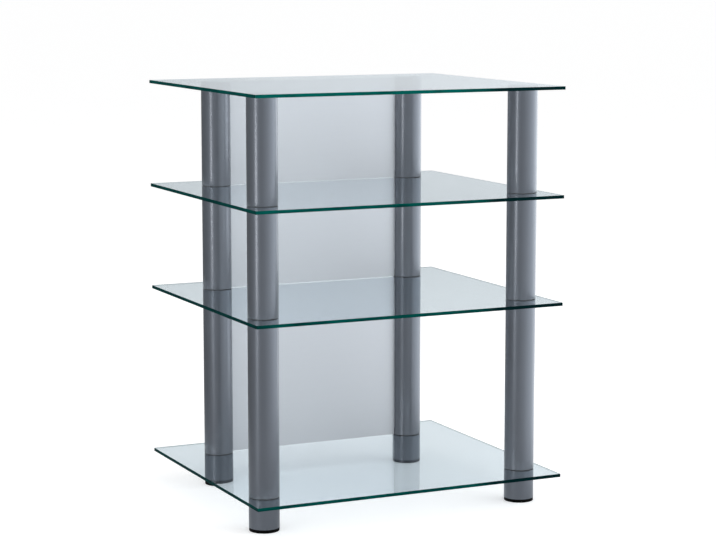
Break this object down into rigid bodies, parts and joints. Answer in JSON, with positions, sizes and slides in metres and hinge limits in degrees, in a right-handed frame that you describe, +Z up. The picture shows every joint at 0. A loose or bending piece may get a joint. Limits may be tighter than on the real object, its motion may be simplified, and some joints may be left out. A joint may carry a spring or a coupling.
{
  "type": "audio equipment rack",
  "caption": "Free-standing audio rack: clear glass shelves clamped between round tube columns, open at the front and sides, with a panel closing the back of each bay.",
  "frame": {"origin": "on the floor, under the middle of the shelves", "axes": "+X to the right and +Z up for someone facing the open front, which looks towards -Y"},
  "size_m": [0.6, 0.52, 0.7696],
  "materials": {
    "glass": "clear float glass, polished edges that look deep green",
    "tube": "satin grey metallic paint",
    "panel": "satin silver sheet",
    "plug": "matt black moulding",
    "glide": "semi-matt black moulding",
    "boss": "turned, bonded face up",
    "rod": "zinc-plated threaded rod"
  },
  "bodies": {
    "root": {"glass_shelf_bottom": "glass", "glass_shelf_lower": "glass", "glass_shelf_upper": "glass", "glass_shelf_top": "glass", "rear_panel_lower": "panel", "rear_panel_middle": "panel", "rear_panel_upper": "panel", "glide_front_left": "glide", "foot_tube_front_left": "tube", "end_plug_front_left_foot": "plug", "column_tube_front_left_lower": "tube", "end_plug_front_left_lower_base": "plug", "end_plug_front_left_lower_head": "plug", "column_tube_front_left_middle": "tube", "end_plug_front_left_middle_base": "plug", "end_plug_front_left_middle_head": "plug", "column_tube_front_left_upper": "tube", "end_plug_front_left_upper_base": "plug", "glass_boss_front_left": "boss", "tie_rod_front_left": "rod", "glide_front_right": "glide", "foot_tube_front_right": "tube", "end_plug_front_right_foot": "plug", "column_tube_front_right_lower": "tube", "end_plug_front_right_lower_base": "plug", "end_plug_front_right_lower_head": "plug", "column_tube_front_right_middle": "tube", "end_plug_front_right_middle_base": "plug", "end_plug_front_right_middle_head": "plug", "column_tube_front_right_upper": "tube", "end_plug_front_right_upper_base": "plug", "glass_boss_front_right": "boss", "tie_rod_front_right": "rod", "glide_rear_left": "glide", "foot_tube_rear_left": "tube", "end_plug_rear_left_foot": "plug", "column_tube_rear_left_lower": "tube", "end_plug_rear_left_lower_base": "plug", "end_plug_rear_left_lower_head": "plug", "column_tube_rear_left_middle": "tube", "end_plug_rear_left_middle_base": "plug", "end_plug_rear_left_middle_head": "plug", "column_tube_rear_left_upper": "tube", "end_plug_rear_left_upper_base": "plug", "glass_boss_rear_left": "boss", "tie_rod_rear_left": "rod", "glide_rear_right": "glide", "foot_tube_rear_right": "tube", "end_plug_rear_right_foot": "plug", "column_tube_rear_right_lower": "tube", "end_plug_rear_right_lower_base": "plug", "end_plug_rear_right_lower_head": "plug", "column_tube_rear_right_middle": "tube", "end_plug_rear_right_middle_base": "plug", "end_plug_rear_right_middle_head": "plug", "column_tube_rear_right_upper": "tube", "end_plug_rear_right_upper_base": "plug", "glass_boss_rear_right": "boss", "tie_rod_rear_right": "rod"}
  },
  "joints": []
}
